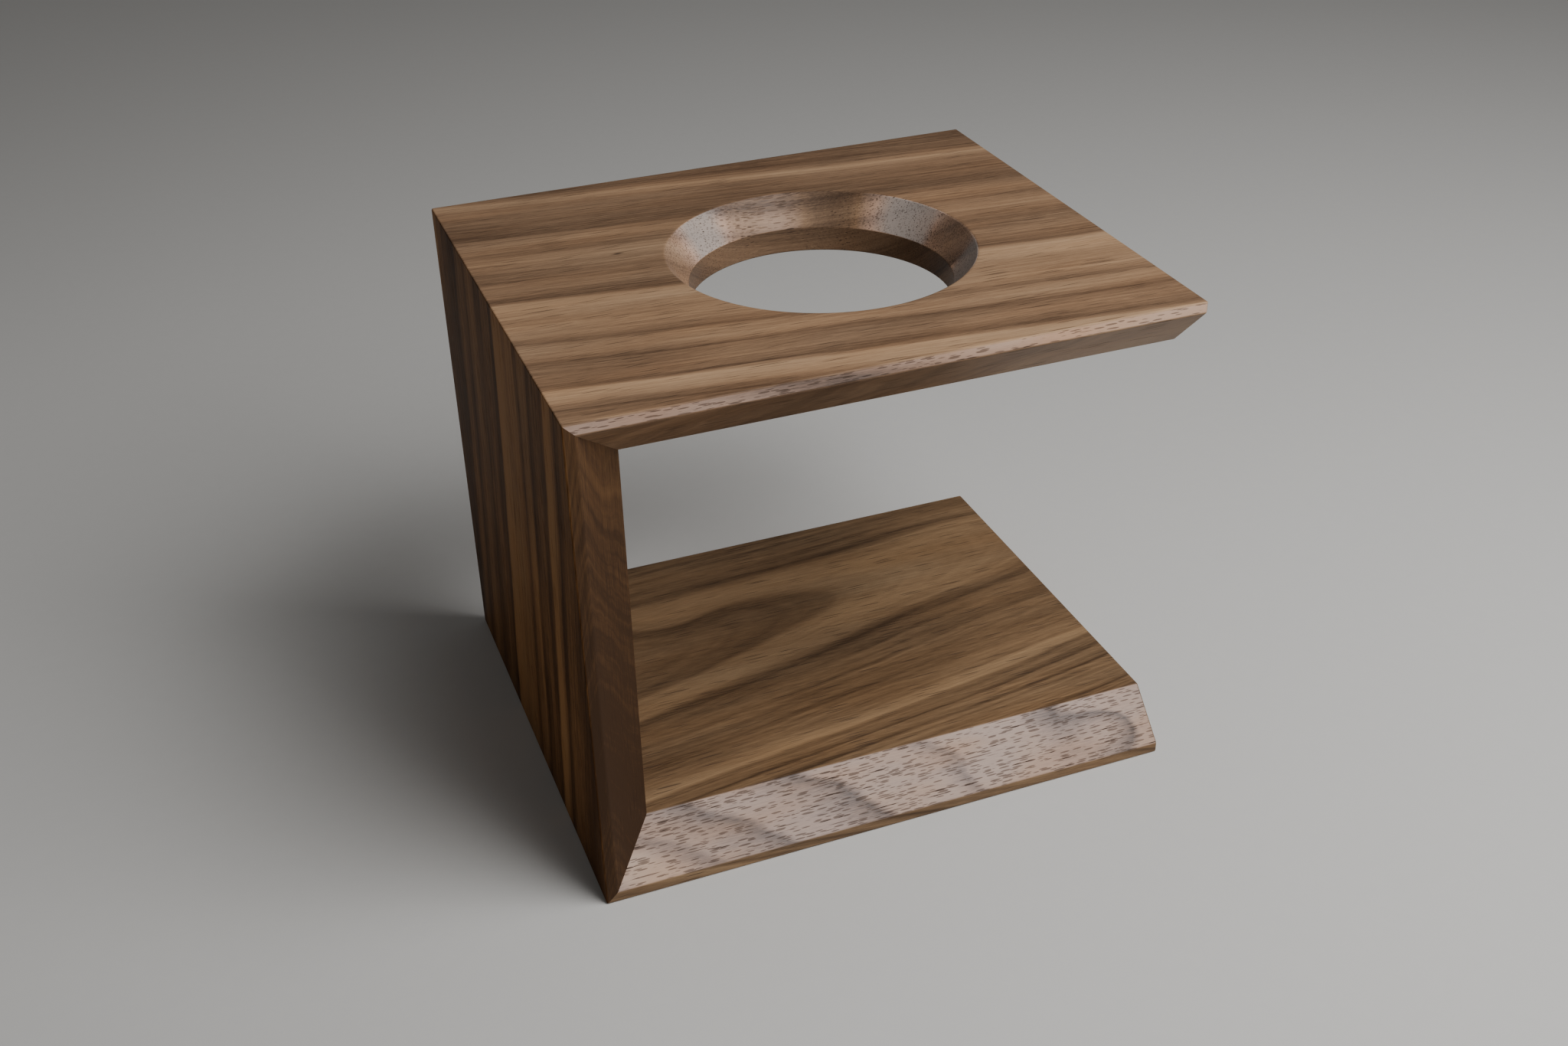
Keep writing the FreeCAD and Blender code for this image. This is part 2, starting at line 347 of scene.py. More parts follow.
class StudioSettings(PropertyGroup):
    """Floor, light and camera"""

    floor: FloatVectorProperty(
        name="Floor",
        description="Colour of the plain studio floor",
        subtype="COLOR",
        default=(0.62, 0.61, 0.59),
    )
    floor_mottle: FloatVectorProperty(
        name="Floor mottle",
        description="Slightly darker mottle of the studio floor",
        subtype="COLOR",
        default=(0.6014, 0.5917, 0.5723),
    )
    floor_reach: FloatProperty(
        name="Floor reach",
        description="How far the floor goes on each side",
        default=12.0,
        unit="LENGTH",
    )
    room_colour: FloatVectorProperty(
        name="Room colour",
        description="Colour of the even light from all round",
        subtype="COLOR",
        default=(1.0, 0.98, 0.96),
    )
    room_light: FloatProperty(
        name="Room light",
        description="Strength of the even light from all round",
        default=0.11,
    )
    key_power: FloatProperty(
        name="Key power",
        description="Power of the soft light in front of and above the stand",
        default=11.0,
        unit="POWER",
    )
    key_size: FloatProperty(
        name="Key size",
        description="Side of the square soft light",
        default=0.7,
        unit="LENGTH",
    )
    key_place: FloatVectorProperty(
        name="Key place",
        description="Where the soft light hangs, to the right of the camera",
        subtype="XYZ",
        unit="LENGTH",
        default=(0.38, -0.48, 0.80),
    )
    camera_azimuth: FloatProperty(
        name="Camera azimuth",
        description="Turn of the camera round the stand from straight in front",
        default=math.radians(-20.552),
        subtype="ANGLE",
    )
    camera_elevation: FloatProperty(
        name="Camera elevation",
        description="How far the camera looks down",
        default=math.radians(31.482),
        subtype="ANGLE",
    )
    camera_roll: FloatProperty(
        name="Camera roll",
        description="Tilt of the camera about its own axis",
        default=math.radians(-1.258),
        subtype="ANGLE",
    )
    camera_distance: FloatProperty(
        name="Camera distance",
        description="From the camera to the point that it looks at",
        default=0.57859,
        unit="LENGTH",
    )
    camera_aim: FloatVectorProperty(
        name="Camera aim",
        description="The point that the camera looks at",
        subtype="XYZ",
        unit="LENGTH",
        default=(-0.01383, -0.02309, 0.085),
    )
    camera_lens: FloatProperty(
        name="Camera lens",
        description="Focal length on a 36 mm wide sensor",
        default=40.16,
        unit="CAMERA",
    )


# ---------------------------------------------------------------------------
# Mesh helpers
# ---------------------------------------------------------------------------


def make_blank(low, high):
    """A square-edged board between two corners."""
    bm = bmesh.new()
    bmesh.ops.create_cube(bm, size=1.0)
    bmesh.ops.scale(bm, vec=high - low, verts=bm.verts)
    bmesh.ops.translate(bm, vec=(low + high) / 2, verts=bm.verts)
    return bm


def runs_along(edge, axis):
    """True for an edge parallel to the axis."""
    direction = (edge.verts[1].co - edge.verts[0].co).normalized()
    return abs(abs(direction.dot(axis)) - 1) < PARALLEL


def bevel(bm, items, offset, segments, affect="EDGES"):
    """Bevel edges or corners: one segment is flat, and more make a round arris."""
    bmesh.ops.bevel(
        bm,
        geom=items,
        offset=offset,
        offset_type="OFFSET",
        segments=segments,
        profile=ROUND_PROFILE,
        affect=affect,
        clamp_overlap=False,
        material=-1,
    )


def bevel_long_edges(bm, sizes, grain, inward):
    """Plane the two long edges of the inner face down to the land."""
    inner_level = max(vert.co.dot(inward) for vert in bm.verts)
    edges = [
        edge
        for edge in bm.edges
        if runs_along(edge, grain)
        and all(abs(v.co.dot(inward) - inner_level) < CLOSE for v in edge.verts)
    ]
    bevel(bm, edges, THICKNESS - sizes.edge_land, segments=1)


def ease_arrises(bm, sizes):
    """Round every edge of the blank a little, as sanding does."""
    bevel(bm, bm.edges[:], sizes.arris_radius, sizes.arris_segments)


def saw_mitre(bm, toe, outward):
    """Saw off everything beyond a plane through the toe, and return the open outline."""
    everything = bm.verts[:] + bm.edges[:] + bm.faces[:]
    cut = bmesh.ops.bisect_plane(
        bm,
        geom=everything,
        dist=CLOSE,
        plane_co=toe,
        plane_no=outward,
        clear_outer=True,
    )
    return [item for item in cut["geom_cut"] if isinstance(item, bmesh.types.BMEdge)]


def slot_outline(bm, sizes, tenon, outward):
    """The outline of one mortise, lying in the mitre face round its tenon."""
    low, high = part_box(tenon)
    thickness = sizes.tenon_thickness + 2 * sizes.glue_gap
    span = high.y - low.y - sizes.tenon_thickness
    verts = bmesh.ops.create_circle(
        bm, cap_ends=False, radius=thickness / 2, segments=sizes.slot_facets
    )["verts"]
    half_step = Matrix.Rotation(math.pi / sizes.slot_facets, 3, "Z")
    bmesh.ops.rotate(bm, verts=verts, cent=(0, 0, 0), matrix=half_step)
    for side in (-1, 1):
        end = [vert for vert in verts if vert.co.x * side > 0]
        bmesh.ops.translate(bm, verts=end, vec=X_AXIS * side * span / 2)
    along_mitre = outward.cross(Y_AXIS)
    turn = Matrix((Y_AXIS, along_mitre, outward)).transposed().to_4x4()
    place = Matrix.Translation((low + high) / 2) @ turn
    bmesh.ops.transform(bm, matrix=place, verts=verts)
    return edges_between(bm, verts)


def edges_between(bm, verts):
    """The edges that have both ends among some vertices."""
    chosen = set(verts)
    return [edge for edge in bm.edges if chosen.issuperset(edge.verts)]


def close_mitre(bm, sizes, outline, tenons, outward):
    """Close a mitre face round its row of mortises, and sink them into the board."""
    rims = []
    for tenon in tenons:
        rim = slot_outline(bm, sizes, tenon, outward)
        rims += rim
        walls = bmesh.ops.extrude_edge_only(bm, edges=rim)["geom"]
        floor_verts = [item for item in walls if isinstance(item, bmesh.types.BMVert)]
        bmesh.ops.translate(bm, verts=floor_verts, vec=-outward * sizes.mortise_depth)
        bmesh.ops.contextual_create(bm, geom=edges_between(bm, floor_verts))
    bmesh.ops.triangle_fill(
        bm, use_beauty=True, use_dissolve=False, edges=outline + rims, normal=outward
    )


def open_face(bm, level):
    """Take out the flat face at a level, and return the edges round it."""
    faces = [
        face
        for face in bm.faces
        if all(abs(vert.co.z - level) < CLOSE for vert in face.verts)
    ]
    outline = [edge for face in faces for edge in face.edges]
    bmesh.ops.delete(bm, geom=faces, context="FACES_ONLY")
    return outline


def hole_profile(bm, sizes):
    """Half of the hole's section, as a wire with eased corners and a collar at each end."""
    mouth = BORE_RADIUS + sizes.cone_flare
    collar = RIM_COLLAR * sizes.arris_radius
    corners = [
        (mouth + collar, TOP_HIGH.z),
        (mouth, TOP_HIGH.z),
        (BORE_RADIUS, TOP_HIGH.z - sizes.cone_depth),
        (BORE_RADIUS, TOP_LOW.z),
        (BORE_RADIUS + collar, TOP_LOW.z),
    ]
    profile = [
        bmesh.ops.create_vert(bm, co=(BORE_CENTRE.x + radius, BORE_CENTRE.y, z))["vert"][0]
        for radius, z in corners
    ]
    for first, second in zip(profile, profile[1:]):
        bm.edges.new((first, second))
    roundings = (sizes.arris_radius, sizes.ring_radius, sizes.arris_radius)
    for vert, radius in zip(profile[1:-1], roundings):
        bevel(bm, [vert], radius, sizes.arris_segments, affect="VERTICES")
    wire = [edge for edge in bm.edges if edge.is_wire]
    return list(dict.fromkeys(vert for edge in wire for vert in edge.verts)) + wire


def round_rim(bm, level, radius):
    """The edges of a circle about the hole's axis, at a level."""
    return [
        edge
        for edge in bm.edges
        if all(
            abs(vert.co.z - level) < CLOSE
            and abs((vert.co.xy - BORE_CENTRE.xy).length - radius) < CLOSE
            for vert in edge.verts
        )
    ]


def turn_hole(bm, sizes):
    """Turn the funnel-shaped hole, and join it to the faces above and below."""
    outlines = [open_face(bm, level) for level in (TOP_HIGH.z, TOP_LOW.z)]
    bmesh.ops.spin(
        bm,
        geom=hole_profile(bm, sizes),
        cent=BORE_CENTRE,
        axis=Z_AXIS,
        angle=math.tau,
        steps=sizes.hole_facets,
        use_merge=True,
        use_duplicate=False,
    )
    collar = RIM_COLLAR * sizes.arris_radius
    rims = (
        round_rim(bm, TOP_HIGH.z, BORE_RADIUS + sizes.cone_flare + collar),
        round_rim(bm, TOP_LOW.z, BORE_RADIUS + collar),
    )
    for outline, rim in zip(outlines, rims):
        bmesh.ops.triangle_fill(
            bm, use_beauty=True, use_dissolve=False, edges=outline + rim, normal=Z_AXIS
        )


def faces_towards(face, *directions):
    """True when a face looks one of the given ways."""
    return any(face.normal.dot(Vector(way).normalized()) > FACING for way in directions)


def painted_light_layer(bm):
    """The vertex layer of painted sheen and painted shade."""
    layers = bm.verts.layers.float
    return layers.get(PAINTED_LIGHT_LAYER) or layers.new(PAINTED_LIGHT_LAYER)


def paint_light(bm, amount, is_painted):
    """Paint light on some faces: a pale sheen above zero, shade below zero."""
    layer = painted_light_layer(bm)
    for face in bm.faces:
        if is_painted(face):
            for vert in face.verts:
                vert[layer] = amount


def between(stops, place):
    """The amount at a place, straight between the stops on either side of it."""
    for (low, first), (high, second) in zip(stops, stops[1:]):
        if low <= place <= high:
            return first + (second - first) * (place - low) / (high - low)
    raise ValueError(f"{place} lies outside the stops")


def lies_on_land(face):
    """True for a flat face of the top board's long edges."""
    level = face.calc_center_median().y
    return min(abs(level - TOP_LOW.y), abs(level - TOP_HIGH.y)) < CLOSE


def mark_under_bevels(bm):
    """Paint shade on the bevels under the top board, more towards its free end."""
    layer = painted_light_layer(bm)
    for face in bm.faces:
        if faces_towards(face, (0, -1, -1), (0, 1, -1)):
            for vert in face.verts:
                vert[layer] = between(UNDER_SHADE, vert.co.x)


def mark_cone(bm, sizes):
    """Paint sheen and shade round the hole's cone, the sheen most where it cuts the grain
    aslant, and paint shade in the bore.
    """
    layer = painted_light_layer(bm)
    for vert in bm.verts:
        arm = vert.co.xy - BORE_CENTRE.xy
        if arm.length > BORE_RADIUS + sizes.cone_flare:
            continue
        if vert.co.z > TOP_HIGH.z - sizes.cone_depth:
            turn = math.degrees(math.atan2(abs(arm.y), arm.x))
            vert[layer] = between(CONE_SHEEN_AND_SHADE, turn)
        else:
            vert[layer] = BORE_SHADE


def finish_piece(bm, name, material, replaced):
    """Turn a finished mesh into a piece that stands for its CAD node."""
    bmesh.ops.remove_doubles(bm, verts=bm.verts, dist=CLOSE)
    bmesh.ops.recalc_face_normals(bm, faces=bm.faces)
    for face in bm.faces:
        face.smooth = True
    mesh = bpy.data.meshes.new(name)
    bm.to_mesh(mesh)
    bm.free()
    mesh.set_sharp_from_angle(angle=SHARP_ANGLE)
    mesh.materials.append(material)
    piece = bpy.data.objects.new(name, mesh)
    bpy.context.scene.collection.objects.link(piece)
    normals = piece.modifiers.new("Even normals", "WEIGHTED_NORMAL")
    normals.keep_sharp = True
    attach(piece, ROOT_BODY)
    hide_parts(replaced)


# ---------------------------------------------------------------------------
# Materials
# ---------------------------------------------------------------------------

# Sockets of the Mix node for colours, which share their names with its other kinds.
MIX_INPUTS = (0, 6, 7)
MIX_RESULT = 2

# The walnut's figure: lengths along, across and below the stock's face in mm, then the
# noise's detail and roughness.
FIGURE = {
    "streaks": ((120, 1.5, 50), 4.0, 0.65),
    "lines": ((60, 0.55, 30), 3.0, 0.6),
    "threads": ((34, 0.55, 0.55), 4.0, 0.7),
    "grit": ((4.5, 0.32, 0.32), 3.0, 0.7),
    "patches": ((60, 20, 20), 2.0, 0.5),
    "blush": ((90, 14, 14), 2.0, 0.5),
    "peach": ((30, 9, 9), 1.0, 0.5),
    "sway": ((150, 42, 42), 1.0, 0.5),
    "quiver": ((46, 8, 8), 2.0, 0.5),
}
# Open pores: their spacing in mm, and the least and most reach as shares of it.
FINE_PORES = ((17.0, 0.72, 0.72), 0.06, 0.33)
DASH_PORES = ((4.7, 0.60, 0.60), 0.24, 0.52)
PORE_EDGE = 0.08
MID_TONE = 0.5
# The part of a noise's range over which a tint comes in.
BLUSH_RANGE = (-0.2, 0.2)
PEACH_RANGE = (-0.15, 0.2)
# Tones at which the wood under the painted sheen is slate, rosy and pale.
SHEEN_SPAN = (0.10, 0.42, 0.75)
# Part of the dashes that the silver sheen hides.
SHEEN_COVER = 0.6
THREAD_RELIEF = 0.5

BEECH_FIBRES = ((0.5, 12, 0.5), 3.0, 0.6)
BEECH_FLECKS = (0.5, 2.2, 0.5)
BEECH_FLECK_EDGE = (0.12, 0.30)
BEECH_CONTRAST = 0.6
BEECH_FLECK_DEPTH = 0.5
BEECH_ROUGHNESS = 0.6
BEECH_SHEEN = 0.2

FLOOR_MOTTLE = ((6, 6, 6), 3.0, 0.5)
FLOOR_ROUGHNESS = 0.85


class Graph:
    """The nodes of one material, added and linked in short calls."""

    def __init__(self, name):
        self.material = bpy.data.materials.new(name)
        self.material.use_nodes = True
        self.tree = self.material.node_tree
        self.tree.nodes.clear()
        output = self.add("ShaderNodeOutputMaterial")
        self.shader = self.add("ShaderNodeBsdfPrincipled")
        self.tree.links.new(self.shader.outputs["BSDF"], output.inputs["Surface"])

    def add(self, kind, **settings):
        """A new node with some of its settings."""
        node = self.tree.nodes.new(kind)
        for name, value in settings.items():
            setattr(node, name, value)
        return node

    def feed(self, node, key, value):
        """Link a socket to an input, or set a plain value on it."""
        if isinstance(value, bpy.types.NodeSocket):
            self.tree.links.new(value, node.inputs[key])
        else:
            node.inputs[key].default_value = value

    def math(self, operation, first, second=0.0, third=0.0, clamp=False):
        """A sum on up to three sockets or numbers."""
        node = self.add("ShaderNodeMath", operation=operation, use_clamp=clamp)
        for index, value in enumerate((first, second, third)):
            self.feed(node, index, value)
        return node.outputs[0]

    def remap(self, value, low, high, new_low=0.0, new_high=1.0):
        """A value moved from one range to another, and held inside it."""
        node = self.add("ShaderNodeMapRange", clamp=True)
        for key, item in (
            ("Value", value),
            ("From Min", low),
            ("From Max", high),
            ("To Min", new_low),
            ("To Max", new_high),
        ):
            self.feed(node, key, item)
        return node.outputs["Result"]

    def blend(self, factor, first, second, kind="MIX"):
        """One colour laid over another, each a socket or a plain colour."""
        node = self.add("ShaderNodeMix", data_type="RGBA", blend_type=kind)
        for key, value in zip(MIX_INPUTS, (factor, first, second)):
            plain = key != MIX_INPUTS[0] and not isinstance(value, bpy.types.NodeSocket)
            self.feed(node, key, (*value, 1.0) if plain else value)
        return node.outputs[MIX_RESULT]

    def ramp(self, value, stops):
        """A colour ramp through (place, colour) stops, each place from 0 to 1."""
        node = self.add("ShaderNodeValToRGB")
        elements = node.color_ramp.elements
        while len(elements) < len(stops):
            elements.new(1.0)
        for element, (place, colour) in zip(elements, stops):
            element.position = place
            element.color = (*colour, 1.0)
        self.feed(node, "Fac", value)
        return node.outputs["Color"]

    def ring_tones(self, place, stops):
        """The tone of the growth rings through (place, tone) stops in mm."""
        low = stops[0][0]
        high = stops[-1][0]
        greys = [((mm - low) / (high - low), (tone, tone, tone)) for mm, tone in stops]
        return self.ramp(self.remap(place, low, high), greys)

    def stretched(self, vector, sizes):
        """Divide a place by a length along each axis."""
        node = self.add("ShaderNodeVectorMath", operation="DIVIDE")
        self.feed(node, 0, vector)
        node.inputs[1].default_value = sizes
        return node.outputs[0]

    def noise(self, vector, sizes, detail=2.0, roughness=0.5):
        """Smooth noise about zero, with features of these lengths."""
        node = self.add("ShaderNodeTexNoise")
        self.feed(node, "Vector", self.stretched(vector, sizes))
        node.inputs["Scale"].default_value = 1.0
        node.inputs["Detail"].default_value = detail
        node.inputs["Roughness"].default_value = roughness
        return self.math("SUBTRACT", node.outputs["Fac"], MID_TONE)

    def specks(self, vector, sizes):
        """Distance to the nearest of scattered points, and a number for that point."""
        node = self.add("ShaderNodeTexVoronoi", feature="F1")
        self.feed(node, "Vector", self.stretched(vector, sizes))
        node.inputs["Scale"].default_value = 1.0
        number = self.add("ShaderNodeSeparateColor")
        self.feed(number, "Color", node.outputs["Color"])
        return node.outputs["Distance"], number.outputs["Red"]

    def vessels(self, stock, sizes, least, most):
        """Slim open pores, each as wide as its own number says."""
        distance, number = self.specks(stock, sizes)
        reach = self.math("MULTIPLY_ADD", number, most - least, least)
        return self.remap(self.math("SUBTRACT", reach, distance), 0.0, PORE_EDGE)

    def swell(self, stock, centre, reach):
        """A soft rise about a place in the stock, 1 at its middle."""
        shifted = self.add("ShaderNodeVectorMath", operation="SUBTRACT")
        self.feed(shifted, 0, stock)
        shifted.inputs[1].default_value = centre
        away = self.add("ShaderNodeVectorMath", operation="LENGTH")
        self.feed(away, 0, self.stretched(shifted.outputs[0], reach))
        distance = away.outputs["Value"]
        fall = self.math("MULTIPLY", self.math("MULTIPLY", distance, distance), -1.0)
        return self.math("EXPONENT", fall)

    def ring_place(self, stock, tree):
        """Where a point lies among the growth rings of its tree, in mm."""
        along, across, below = self.split(stock)
        drift = self.math("MULTIPLY_ADD", along, tree["bend"], tree["slope"])
        level = self.math("SUBTRACT", across, self.math("MULTIPLY", along, drift))
        for key in ("sway", "quiver"):
            wander = self.noise(stock, *FIGURE[key])
            level = self.math("MULTIPLY_ADD", wander, tree[key], level)
        for centre, reach, push in tree["eddies"]:
            rise = self.swell(stock, centre, reach)
            level = self.math("MULTIPLY_ADD", rise, push, level)
        pith_across, pith_below = tree["pith"]
        sideways = self.math("SUBTRACT", pith_across, level)
        depth = self.math("SUBTRACT", below, pith_below)
        depth = self.math("MULTIPLY_ADD", along, tree["dive"], depth)
        squares = self.math(
            "MULTIPLY_ADD", sideways, sideways, self.math("MULTIPLY", depth, depth)
        )
        if not tree["unfolded"]:
            return self.math("SQRT", squares)
        outside = self.math("SUBTRACT", squares, pith_below * pith_below)
        root = self.math("SQRT", self.math("MAXIMUM", outside, 0.0))
        return self.math("SUBTRACT", pith_across, root)

    def stock_place(self, rotation, location):
        """Where a point lay in the stock, in mm: along, across, and below its face."""
        place = self.add("ShaderNodeTexCoord")
        mapping = self.add("ShaderNodeMapping", vector_type="POINT")
        self.feed(mapping, "Vector", place.outputs["Object"])
        mapping.inputs["Scale"].default_value = (1 / MM, 1 / MM, 1 / MM)
        mapping.inputs["Rotation"].default_value = rotation
        mapping.inputs["Location"].default_value = [value / MM for value in location]
        return mapping.outputs["Vector"]

    def split(self, vector):
        """The three parts of a vector."""
        node = self.add("ShaderNodeSeparateXYZ")
        self.feed(node, "Vector", vector)
        return node.outputs

    def join(self, x, y, z):
        """A vector from its three parts."""
        node = self.add("ShaderNodeCombineXYZ")
        for key, value in (("X", x), ("Y", y), ("Z", z)):
            self.feed(node, key, value)
        return node.outputs["Vector"]


# Tone of the growth rings by their place across the stock's outer face, in mm.
FRONT_STOCK_TONES = [
    (-52, 0.24), (-38, 0.12), (-31, 0.26), (-22, 0.42), (-17, 0.44),
    (-12, 0.16), (-6, 0.74), (-1, 0.86), (2, 0.20), (9, 0.44), (16, 0.32),
    (18, 0.18), (22, 0.60), (28, 0.56), (30, 0.26), (36, 0.62), (46, 0.60),
    (56, 0.84), (60, 0.76), (62, 0.18), (72, 0.44), (82, 0.26), (94, 0.58),
    (102, 0.28), (110, 0.56), (118, 0.16), (130, 0.26), (142, 0.44), (146, 0.78),
    (152, 0.18), (172, 0.14),
]

# Tone of the base board's rings by their radius from the pith of the tree, in mm.
BASE_STOCK_TONES = [
    (126, 0.55), (129.4, 0.46), (129.75, 0.30), (130.1, 0.70),
    (131.8, 0.60), (132.7, 0.16), (133.4, 0.38), (135.6, 0.40),
    (136.4, 0.20), (137.0, 0.40), (141.5, 0.30), (142.2, 0.42),
    (144.9, 0.44), (145.6, 0.74), (146.9, 0.70), (147.7, 0.36), (148.2, 0.28),
    (148.7, 0.46), (150.0, 0.34), (150.8, 0.20), (151.2, 0.48), (152.4, 0.44),
    (153.5, 0.30), (154.1, 0.17), (154.5, 0.50), (157.0, 0.48), (157.9, 0.26),
    (158.2, 0.50), (161.0, 0.48), (162.6, 0.17), (163.1, 0.48), (168.0, 0.40),
]


# How each board lay in the stock, which ran on from the top board's free end, down the
# side board and along the base board: rotation, and the stock's place of the row origin.
TOP_PLACE = ((0, math.pi, 0), (TOP_HIGH.x, -TOP_LOW.y, TOP_HIGH.z))
SIDE_PLACE = (
    (0, -math.pi / 2, 0),
    (LENGTH + SIDE_HIGH.z, -SIDE_LOW.y, -SIDE_LOW.x),
)
BASE_PLACE = ((0, 0, 0), (0, -BASE_LOW.y, -BASE_LOW.z))
UNTURNED = ((0, 0, 0), (0, 0, 0))

# The trees: where the pith lies from the stock's front edge and outer face, how the
# grain drifts and dives along the stock, how it wanders, and its local eddies, in mm.
# Then each board's small dark flecks, tints, which also paint shade (the base board a little
# darker, the side board much darker), gloss, and the tones at which its oiled wood is dark,
# middling and golden.
FRONT_TREE = {
    "pith": (230.0, -170.0),
    "slope": 0.07,
    "bend": 0.000177,
    "dive": 0.0,
    "sway": 7.0,
    "quiver": 1.8,
    "eddies": (),
    "unfolded": True,
    "flecks": (((151.0, 106.0, 0.0), (1.6, 0.6, 1.6)),),
    "tint": (1.06, 1.10, 1.16),
    # Tint of the wood under the painted sheen.
    "sheen_tint": (1.08, 1.0, 0.92),
    "gloss": 0.16,
    "span": (0.0, 0.45, 1.0),
}
SIDE_TREE = {
    **FRONT_TREE,
    # Painted shade: a much darker tint than the other boards, for the little light on the
    # side board.
    "tint": (0.84, 0.68, 0.47),
    "gloss": 0.02,
    "span": (0.17, 0.45, 0.78),
}
BASE_TREE = {
    "pith": (103.3, -110.4),
    "slope": 0.132,
    "bend": 0.0,
    "dive": 0.0197,
    "sway": 8.0,
    "quiver": 1.6,
    "eddies": (
        ((-42.0, 112.0, 19.0), (18.0, 12.0, 60.0), 7.0),
        ((88.0, 128.0, 19.0), (34.0, 12.0, 60.0), -9.0),
        ((84.0, 7.0, 11.0), (15.0, 9.0, 9.0), 4.0),
    ),
    "unfolded": False,
    "flecks": (),
    "tint": (0.86, 0.90, 0.87),
    "sheen_tint": (1.0, 1.0, 1.0),
    "gloss": 0.20,
    "span": (0.0, 0.45, 1.0),
}

# Painted light, on the scale of the layer: painted sheen on the base board's bevels and the
# top board's lands, painted shade on the side board's bevels and lands, on the bevels under
# the top board from its mitre to its free end, and in the hole's bore.
PAINTED_SHEEN = 1.0
SIDE_SHADE = -0.72
UNDER_SHADE = ((TOP_LOW.x, -0.12), (TOP_HIGH.x, -0.46))
BORE_SHADE = -0.45
# Painted sheen on the cone, and painted shade below zero, by the angle round the hole from
# the board's free end, in degrees.
CONE_SHEEN_AND_SHADE = (
    (0, 0.30), (11, 0.50), (17, 1.7), (27, 1.9), (37, 1.9), (44, 1.1), (54, -0.30),
    (62, -0.50), (71, -0.35), (79, 0.30), (88, 0.50), (100, 0.30), (109, 0.45),
    (119, 1.8), (133, 1.9), (143, 0.6), (152, 0.20), (165, 0.15), (180, 0.10),
)


def lay_grain(graph, stock_lie, tree, tones):
    """The sockets that a board's whole figure is built on."""
    stock = graph.stock_place(*stock_lie)
    ring = graph.ring_place(stock, tree)
    return {
        "stock": stock,
        "ring": ring,
        "tone": graph.ring_tones(ring, tones),
        "threads": graph.noise(stock, *FIGURE["threads"]),
        "grit": graph.noise(stock, *FIGURE["grit"]),
    }


def oiled_wood(graph, scene, tree, grain):
    """Colour of planed and oiled wood."""
    colours = scene.wood_colours
    figure = scene.walnut_figure
    along, _across, below = graph.split(grain["stock"])
    leaf = graph.join(along, grain["ring"], below)
    tone = grain["tone"]
    for noise, strength in (
        (graph.noise(leaf, *FIGURE["streaks"]), figure.ring_streaks),
        (graph.noise(leaf, *FIGURE["lines"]), figure.ring_lines),
        (grain["threads"], figure.threads),
        (grain["grit"], figure.grit),
    ):
        tone = graph.math("MULTIPLY_ADD", noise, strength, tone)
    patches = graph.noise(grain["stock"], *FIGURE["patches"])
    tone = graph.math("MULTIPLY_ADD", patches, figure.patches, tone, clamp=True)
    browns = (colours.umber, colours.brown, colours.gold)
    oiled = graph.ramp(tone, list(zip(tree["span"], browns)))
    blush = graph.remap(graph.noise(grain["stock"], *FIGURE["blush"]), *BLUSH_RANGE)
    oiled = graph.blend(blush, oiled, colours.blush, "MULTIPLY")
    return graph.blend(1.0, oiled, tree["tint"], "MULTIPLY")


def sheen_wood(graph, scene, tree, grain):
    """Colour of the wood where a pale sheen is painted on."""
    colours = scene.wood_colours
    figure = scene.walnut_figure
    tone = graph.math("MULTIPLY_ADD", grain["threads"], figure.sheen_threads, grain["tone"])
    tone = graph.math("MULTIPLY_ADD", grain["grit"], figure.sheen_grit, tone, clamp=True)
    pales = (colours.slate, colours.rosy, colours.pale_sheen_colour)
    pale_sheen_colour = graph.ramp(tone, list(zip(SHEEN_SPAN, pales)))
    peach = graph.remap(graph.noise(grain["stock"], *FIGURE["peach"]), *PEACH_RANGE)
    pale_sheen_colour = graph.blend(peach, pale_sheen_colour, colours.peach, "MULTIPLY")
    return graph.blend(1.0, pale_sheen_colour, tree["sheen_tint"], "MULTIPLY")


def open_pores(graph, figure, stock, pale_sheen_amount, sheen):
    """Vessels: long fine lines on oiled faces, and short dashes where a pale sheen is
    painted.
    """
    hidden = graph.math("MULTIPLY", sheen, SHEEN_COVER)
    dashed = graph.math("SUBTRACT", graph.math("SQRT", pale_sheen_amount), hidden)
    dashes = graph.math("MULTIPLY", graph.vessels(stock, *DASH_PORES), dashed)
    dashes = graph.math("MULTIPLY", dashes, figure.pore_dashes)
    lines = graph.vessels(stock, *FINE_PORES)
    return graph.math("MULTIPLY_ADD", lines, figure.pore_lines, dashes, clamp=True)


def rub_surface(graph, figure, threads, pores, gloss):
    """Roughness, gloss and a slight relief, from pore to fibre."""
    roughness = graph.math("MULTIPLY_ADD", pores, figure.pore_roughness, figure.roughness)
    roughness = graph.math("MULTIPLY_ADD", threads, figure.thread_roughness, roughness)
    graph.feed(graph.shader, "Roughness", roughness)
    graph.shader.inputs["Specular IOR Level"].default_value = gloss
    fibres = graph.math("MULTIPLY", threads, THREAD_RELIEF)
    bump = graph.add("ShaderNodeBump")
    bump.inputs["Strength"].default_value = figure.relief
    bump.inputs["Distance"].default_value = figure.relief_depth
    graph.feed(bump, "Height", graph.math("SUBTRACT", fibres, pores))
    graph.feed(graph.shader, "Normal", bump.outputs["Normal"])


